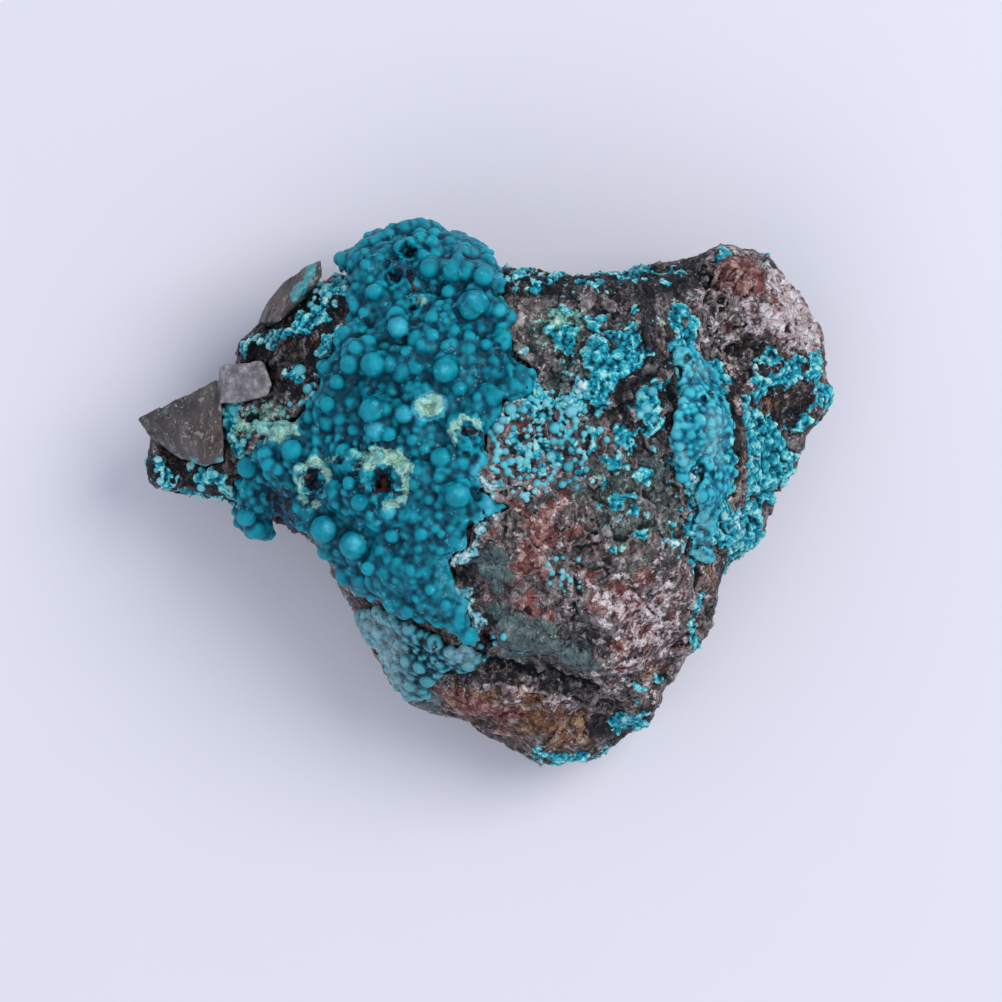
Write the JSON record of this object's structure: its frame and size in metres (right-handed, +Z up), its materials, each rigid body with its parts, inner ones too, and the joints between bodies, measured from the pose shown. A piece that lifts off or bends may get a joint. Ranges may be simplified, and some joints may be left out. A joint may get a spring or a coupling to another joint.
{
  "type": "chrysocolla specimen",
  "caption": "broken hand specimen of host rock with a teal crust of round chrysocolla lumps, a blue-green vein, a pale ledge crust and smoky quartz crystals",
  "frame": {"origin": "centre of the flat resting face's plan box, at the bottom of the specimen", "axes": "+Z up from the resting face, +X from the quartz arm to the knob along the longest side, +Y towards the top lobe of the crust"},
  "size_m": [0.0694, 0.0546, 0.0305],
  "materials": {
    "brown_rock": "rough broken rock",
    "teal_chrysocolla": "satin to waxy, in round lumps",
    "pale_teal_chrysocolla": "satin",
    "grey_blue_chrysocolla": "matt",
    "smoky_quartz": "glassy crystal faces",
    "grey_quartz": "glassy broken crystal"
  },
  "bodies": {
    "root": {"matrix": "brown_rock", "chrysocolla_crust": "teal_chrysocolla", "chrysocolla_vein": "pale_teal_chrysocolla", "ledge_crust": "grey_blue_chrysocolla", "quartz_arm": "smoky_quartz", "quartz_shard": "grey_quartz"}
  },
  "joints": []
}
